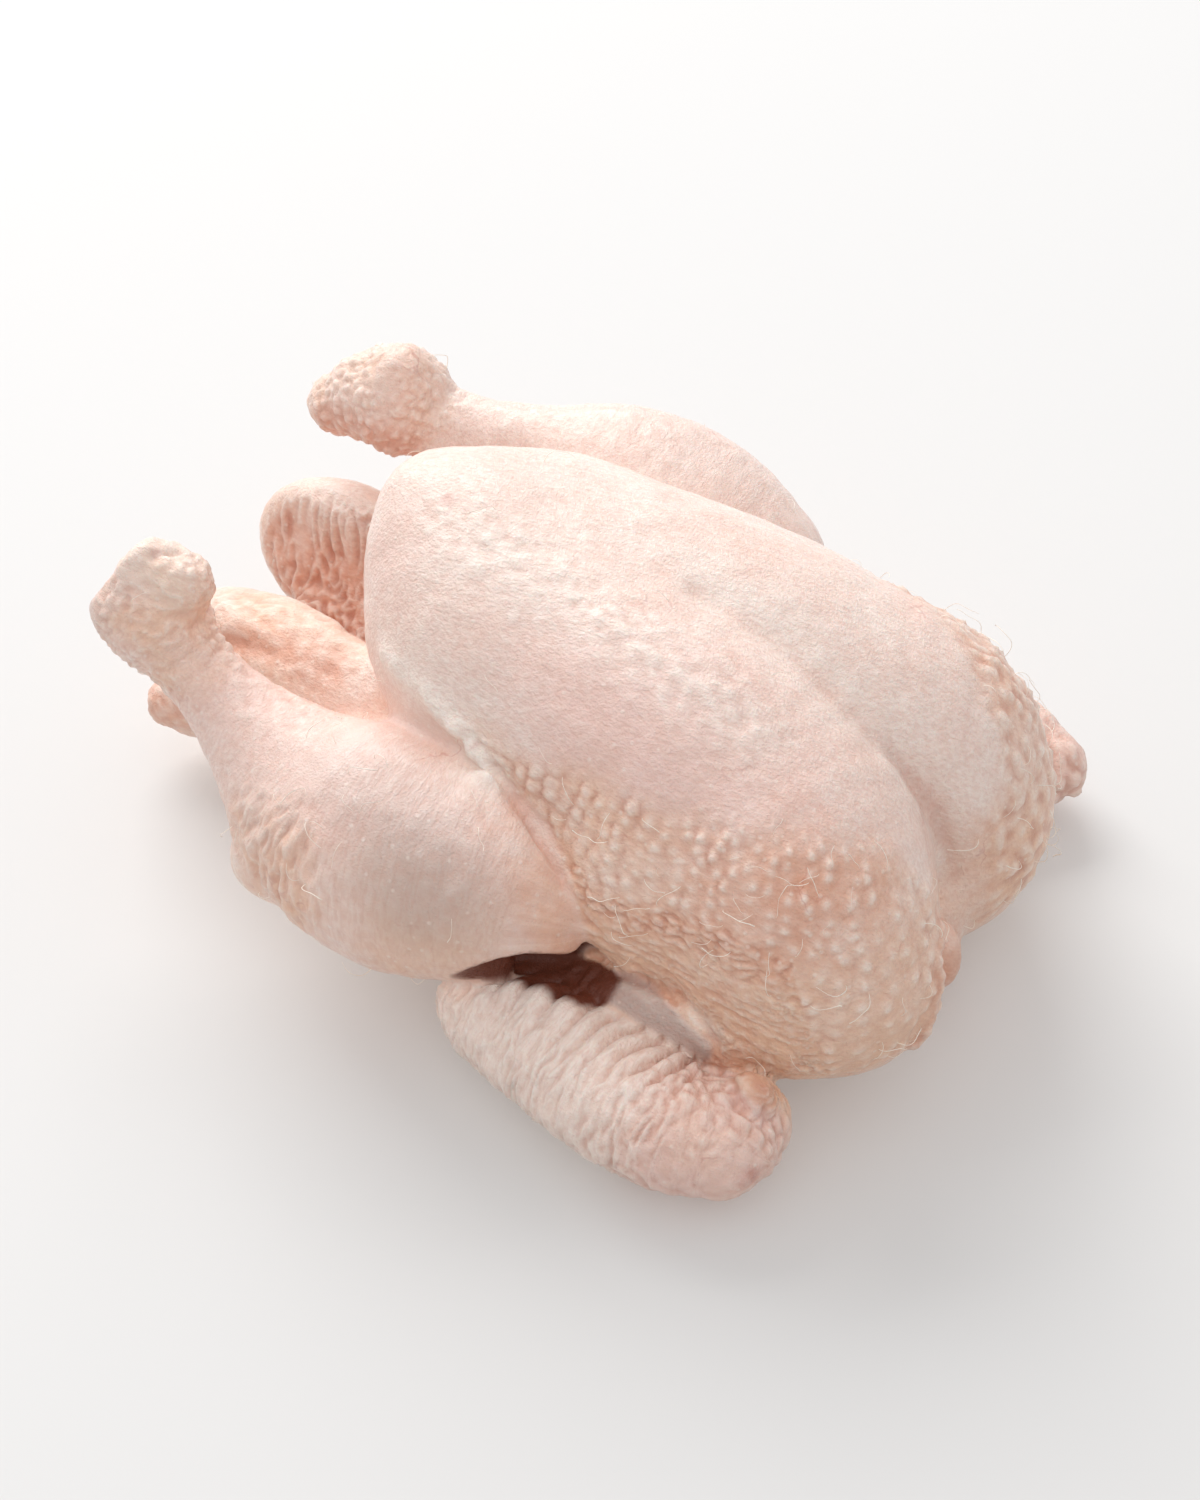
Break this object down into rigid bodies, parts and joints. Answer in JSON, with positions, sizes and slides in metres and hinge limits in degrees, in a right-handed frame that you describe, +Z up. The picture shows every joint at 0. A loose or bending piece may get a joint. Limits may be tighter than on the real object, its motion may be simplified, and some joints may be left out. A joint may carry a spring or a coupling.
{
  "type": "whole raw turkey",
  "caption": "Whole raw plucked and drawn turkey lying on its back, breast up, with legs, folded wings, tail and an open body cavity.",
  "frame": {"origin": "on the table top, under the middle of the bird's outline", "axes": "+X towards the neck end, +Z up through the breast, -Y the bird's left side"},
  "size_m": [0.3762, 0.2964, 0.1795],
  "materials": {
    "raw_skin": "satin"
  },
  "bodies": {
    "root": {"turkey": "raw_skin"}
  },
  "joints": []
}
